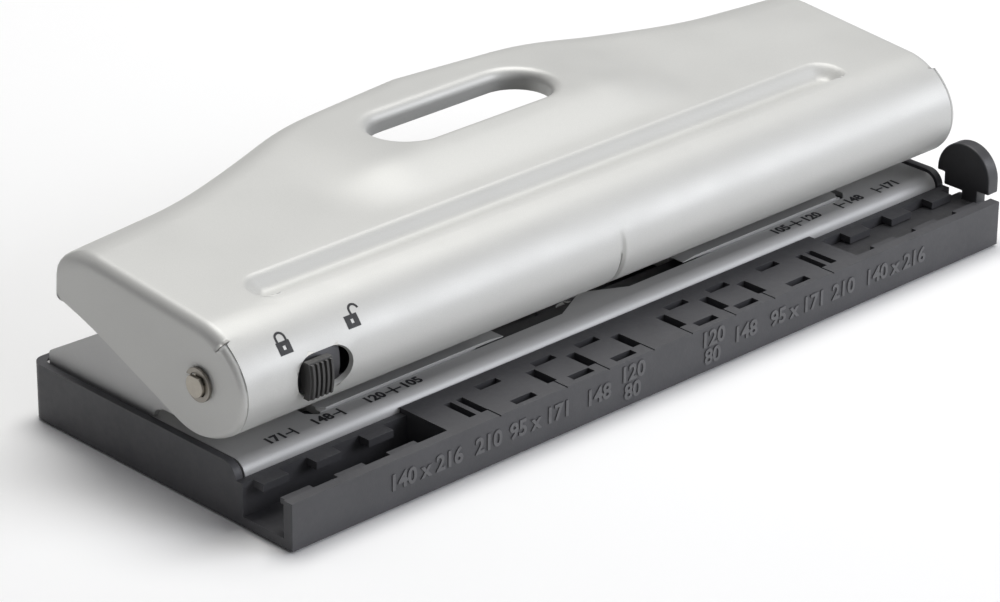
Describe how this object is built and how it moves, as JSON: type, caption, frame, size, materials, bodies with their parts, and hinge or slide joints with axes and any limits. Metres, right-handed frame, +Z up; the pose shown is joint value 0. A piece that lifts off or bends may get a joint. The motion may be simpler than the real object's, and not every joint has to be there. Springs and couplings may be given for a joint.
{
  "type": "hole punch",
  "caption": "Desk punch for loose-leaf planner pages with a long pressing handle, two sliding three-pin punch heads, a lock and a sliding paper guide.",
  "frame": {"origin": "middle of the base, on the surface that its feet stand on", "axes": "+X along the punch towards the paper guide, +Y to the back where the palm pad is, +Z up"},
  "size_m": [0.2152, 0.0897, 0.0452],
  "materials": {
    "base_plastic": "fine-textured",
    "deck_paint": "satin",
    "rail_steel": "brushed",
    "foot_rubber": "matt",
    "screw_steel": "plated",
    "shaft_steel": "turned",
    "clip_steel": "passivated",
    "handle_paint": "satin",
    "knob_plastic": "fine-textured",
    "spring_steel": "drawn wire",
    "bush_brass": "turned",
    "die_steel": "satin",
    "pin_steel": "ground",
    "guide_plastic": "satin"
  },
  "bodies": {
    "base": {"base_tray": "base_plastic", "deck_plate": "deck_paint", "slide_rail": "rail_steel", "rubber_feet": "foot_rubber", "base_screws": "screw_steel", "pivot_shaft": "shaft_steel", "e_clip_left": "clip_steel", "e_clip_right": "clip_steel", "lock_catch": "rail_steel"},
    "handle": {"handle_shell": "handle_paint", "press_plate": "rail_steel", "press_plate_rivets": "screw_steel", "lock_spring": "spring_steel"},
    "lock": {"lock_plate": "rail_steel", "lock_knob": "knob_plastic"},
    "left_head": {"left_die_plate": "die_steel", "left_bracket": "rail_steel", "left_guide_bushes": "bush_brass", "left_head_rivets": "screw_steel", "pin_spring_1": "spring_steel", "pin_spring_2": "spring_steel", "pin_spring_3": "spring_steel"},
    "right_head": {"right_die_plate": "die_steel", "right_bracket": "rail_steel", "right_guide_bushes": "bush_brass", "right_head_rivets": "screw_steel", "pin_spring_4": "spring_steel", "pin_spring_5": "spring_steel", "pin_spring_6": "spring_steel"},
    "guide": {"paper_guide": "guide_plastic"},
    "pin_1": {"punch_pin_1": "pin_steel"},
    "pin_2": {"punch_pin_2": "pin_steel"},
    "pin_3": {"punch_pin_3": "pin_steel"},
    "pin_4": {"punch_pin_4": "pin_steel"},
    "pin_5": {"punch_pin_5": "pin_steel"},
    "pin_6": {"punch_pin_6": "pin_steel"}
  },
  "joints": [
    {"name": "handle_hinge", "type": "hinge", "parent": "base", "child": "handle", "pos_m": [0, -0.0139, 0.0271], "axis": [-1, 0, 0], "range_deg": [0, 20], "stiffness_Nm_per_rad": 0.8, "springref_deg": -14.32},
    {"name": "lock_slide", "type": "slide", "parent": "handle", "child": "lock", "axis": [1, 0, 0], "range_m": [0, 0.005]},
    {"name": "left_head_slide", "type": "slide", "parent": "base", "child": "left_head", "axis": [1, 0, 0], "range_m": [0, 0.0255]},
    {"name": "right_head_slide", "type": "slide", "parent": "base", "child": "right_head", "axis": [-1, 0, 0], "range_m": [0, 0.0255]},
    {"name": "guide_slide", "type": "slide", "parent": "base", "child": "guide", "axis": [1, 0, 0], "range_m": [-0.0444, 0.003]},
    {"name": "pin_1_stroke", "type": "slide", "parent": "left_head", "child": "pin_1", "axis": [0, 0, -1], "range_m": [0, 0.005], "deforming": ["pin_spring_1"]},
    {"name": "pin_2_stroke", "type": "slide", "parent": "left_head", "child": "pin_2", "axis": [0, 0, -1], "range_m": [0, 0.005], "deforming": ["pin_spring_2"]},
    {"name": "pin_3_stroke", "type": "slide", "parent": "left_head", "child": "pin_3", "axis": [0, 0, -1], "range_m": [0, 0.005], "deforming": ["pin_spring_3"]},
    {"name": "pin_4_stroke", "type": "slide", "parent": "right_head", "child": "pin_4", "axis": [0, 0, -1], "range_m": [0, 0.005], "deforming": ["pin_spring_4"]},
    {"name": "pin_5_stroke", "type": "slide", "parent": "right_head", "child": "pin_5", "axis": [0, 0, -1], "range_m": [0, 0.005], "deforming": ["pin_spring_5"]},
    {"name": "pin_6_stroke", "type": "slide", "parent": "right_head", "child": "pin_6", "axis": [0, 0, -1], "range_m": [0, 0.005], "deforming": ["pin_spring_6"]}
  ],
  "couplings": [
    {"joint": "pin_1_stroke", "follows": "handle_hinge", "m_per_rad": 0.0138},
    {"joint": "pin_2_stroke", "follows": "handle_hinge", "m_per_rad": 0.0138},
    {"joint": "pin_3_stroke", "follows": "handle_hinge", "m_per_rad": 0.0138},
    {"joint": "pin_4_stroke", "follows": "handle_hinge", "m_per_rad": 0.0138},
    {"joint": "pin_5_stroke", "follows": "handle_hinge", "m_per_rad": 0.0138},
    {"joint": "pin_6_stroke", "follows": "handle_hinge", "m_per_rad": 0.0138}
  ]
}
